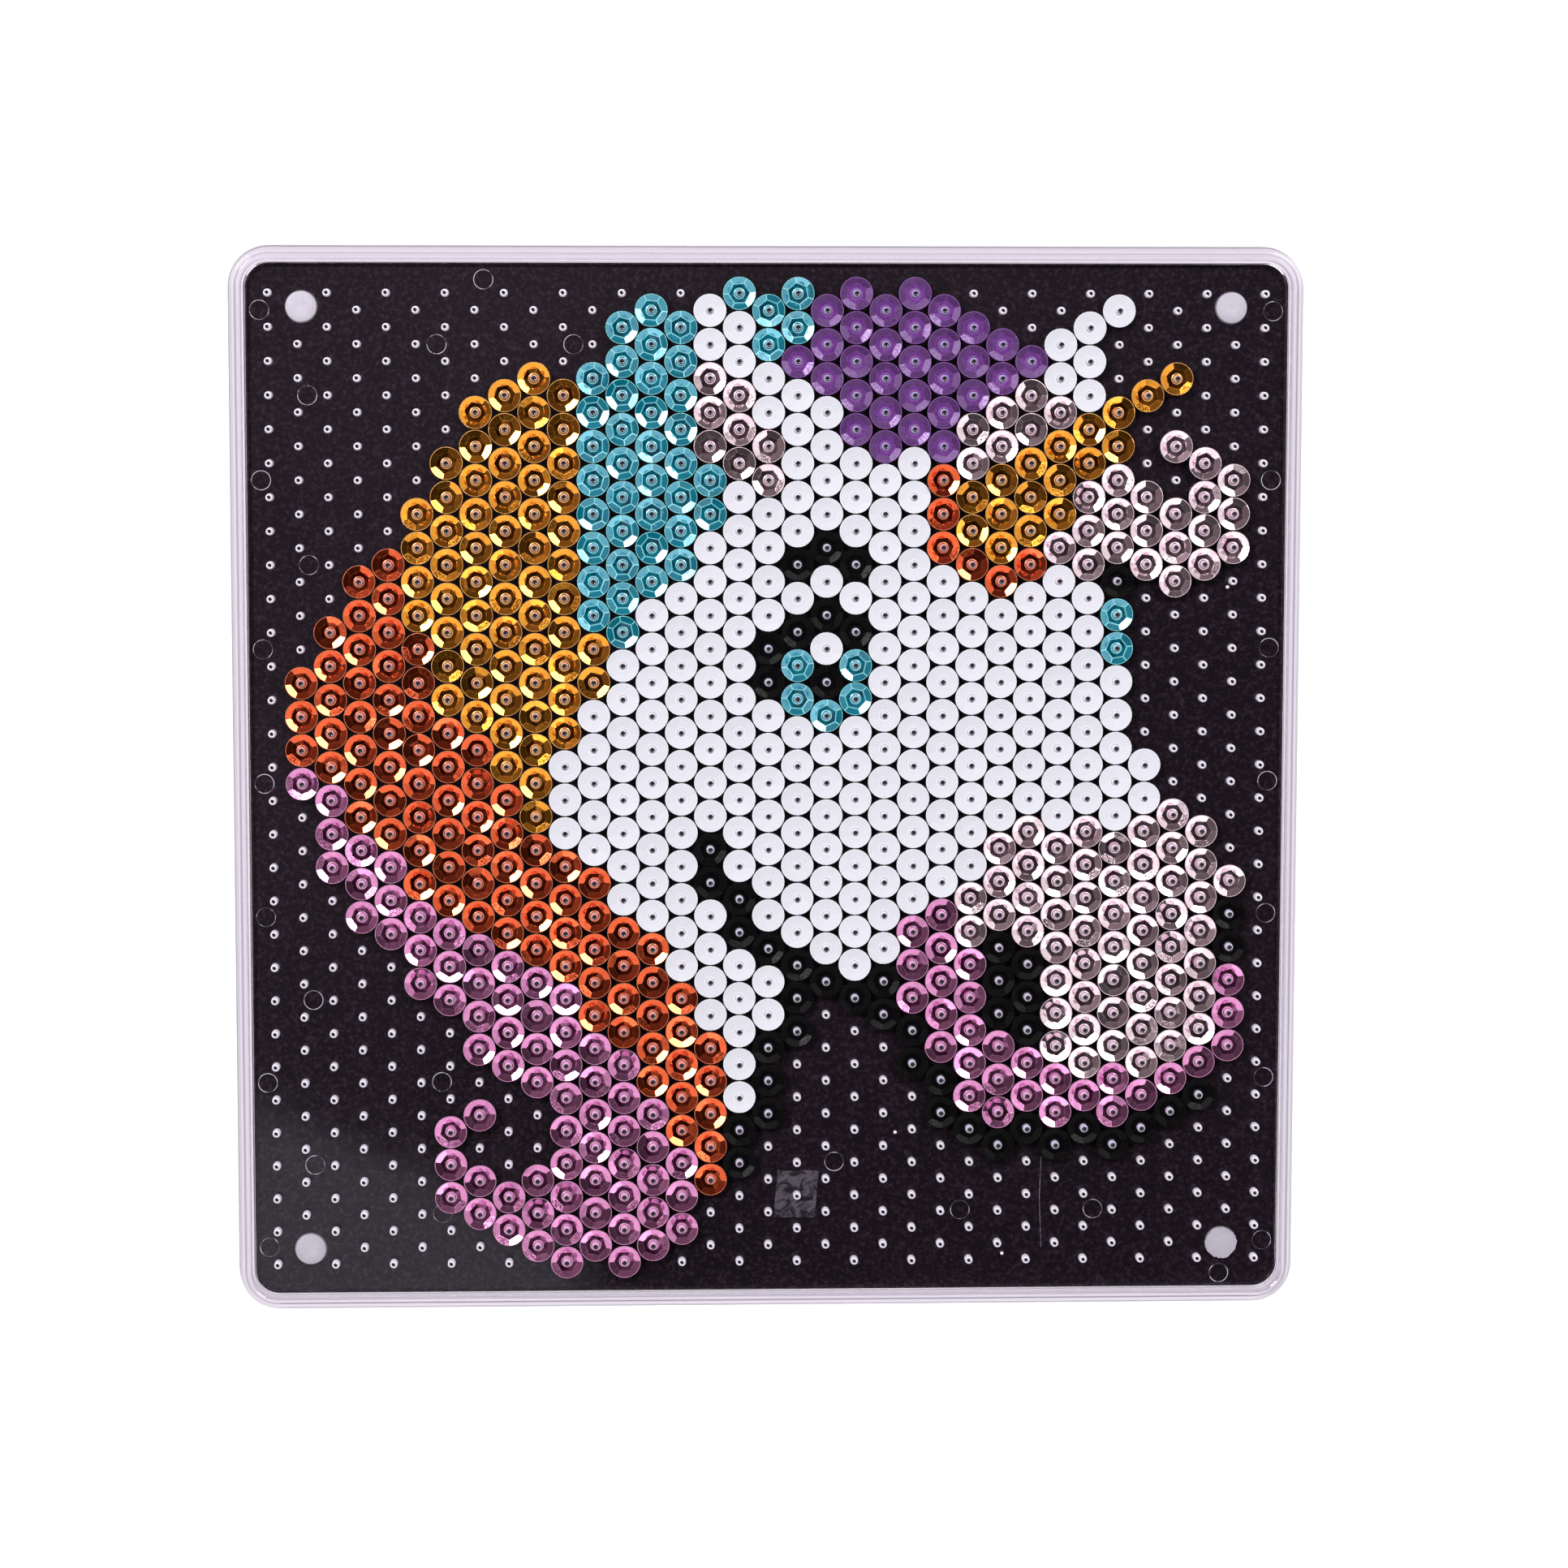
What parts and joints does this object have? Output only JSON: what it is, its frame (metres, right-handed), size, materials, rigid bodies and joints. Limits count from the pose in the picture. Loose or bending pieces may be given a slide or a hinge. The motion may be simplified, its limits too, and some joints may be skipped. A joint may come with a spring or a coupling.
{
  "type": "sequin peg picture",
  "caption": "Flat square craft board: clear tray, black card and clear pin plate, with coloured cup sequins on the pins forming an animal head.",
  "frame": {"origin": "centre of the tray's flat underside", "axes": "+X to the right of the picture, +Y to its top, +Z out of the picture towards the viewer"},
  "size_m": [0.191, 0.1908, 0.0052],
  "materials": {
    "clear_tray": "clear moulded, faint lavender cast",
    "clear_board": "clear moulded, polished",
    "black_card": "uncoated black card",
    "white_film": "opaque satin film",
    "gold_film": "metallised film",
    "orange_film": "metallised film",
    "magenta_film": "metallised film",
    "teal_film": "metallised film",
    "purple_film": "satin metallised film",
    "pink_film": "silvery metallised film",
    "black_film": "glossy film"
  },
  "bodies": {
    "back_tray": {"back_tray": "clear_tray"},
    "card": {"card_insert": "black_card"},
    "pin_board": {"pin_plate": "clear_board"},
    "white_sequins": {"ear_white_sequins": "white_film", "tuft_white_sequins": "white_film", "face_white_sequins": "white_film", "neck_white_sequins": "white_film"},
    "gold_sequins": {"mane_gold_sequins": "gold_film", "horn_gold_sequins": "gold_film"},
    "orange_sequins": {"mane_orange_sequins": "orange_film", "horn_base_orange_sequins": "orange_film"},
    "magenta_sequins": {"mane_magenta_sequins": "magenta_film", "mane_curl_sequins": "magenta_film", "lips_magenta_sequins": "magenta_film"},
    "teal_sequins": {"forelock_teal_sequins": "teal_film", "crown_teal_sequins": "teal_film", "temple_teal_sequins": "teal_film", "iris_teal_sequins": "teal_film"},
    "purple_sequins": {"forelock_purple_sequins": "purple_film"},
    "pink_sequins": {"ear_pink_sequins": "pink_film", "brow_pink_sequins": "pink_film", "fringe_pink_sequins": "pink_film", "muzzle_pink_sequins": "pink_film"},
    "black_sequins": {"temple_black_sequins": "black_film", "eyebrow_black_sequins": "black_film", "lashes_black_sequins": "black_film", "pupil_black_sequins": "black_film", "nostril_black_sequins": "black_film", "nose_black_sequins": "black_film", "cheek_line_black_sequins": "black_film", "jaw_line_black_sequins": "black_film"}
  },
  "joints": [
    {"name": "plate_lift", "type": "slide", "parent": "back_tray", "child": "pin_board", "axis": [0, 0, 1], "range_m": [0, 0.03]},
    {"name": "card_lift", "type": "slide", "parent": "back_tray", "child": "card", "axis": [0, 0, 1], "range_m": [0, 0.015]},
    {"name": "white_lift", "type": "slide", "parent": "pin_board", "child": "white_sequins", "axis": [0, 0, 1], "range_m": [0, 0.012]},
    {"name": "gold_lift", "type": "slide", "parent": "pin_board", "child": "gold_sequins", "axis": [0, 0, 1], "range_m": [0, 0.012]},
    {"name": "orange_lift", "type": "slide", "parent": "pin_board", "child": "orange_sequins", "axis": [0, 0, 1], "range_m": [0, 0.012]},
    {"name": "magenta_lift", "type": "slide", "parent": "pin_board", "child": "magenta_sequins", "axis": [0, 0, 1], "range_m": [0, 0.012]},
    {"name": "teal_lift", "type": "slide", "parent": "pin_board", "child": "teal_sequins", "axis": [0, 0, 1], "range_m": [0, 0.012]},
    {"name": "purple_lift", "type": "slide", "parent": "pin_board", "child": "purple_sequins", "axis": [0, 0, 1], "range_m": [0, 0.012]},
    {"name": "pink_lift", "type": "slide", "parent": "pin_board", "child": "pink_sequins", "axis": [0, 0, 1], "range_m": [0, 0.012]},
    {"name": "black_lift", "type": "slide", "parent": "pin_board", "child": "black_sequins", "axis": [0, 0, 1], "range_m": [0, 0.012]}
  ],
  "couplings": [
    {"joint": "card_lift", "follows": "plate_lift", "ratio": 0.5}
  ]
}
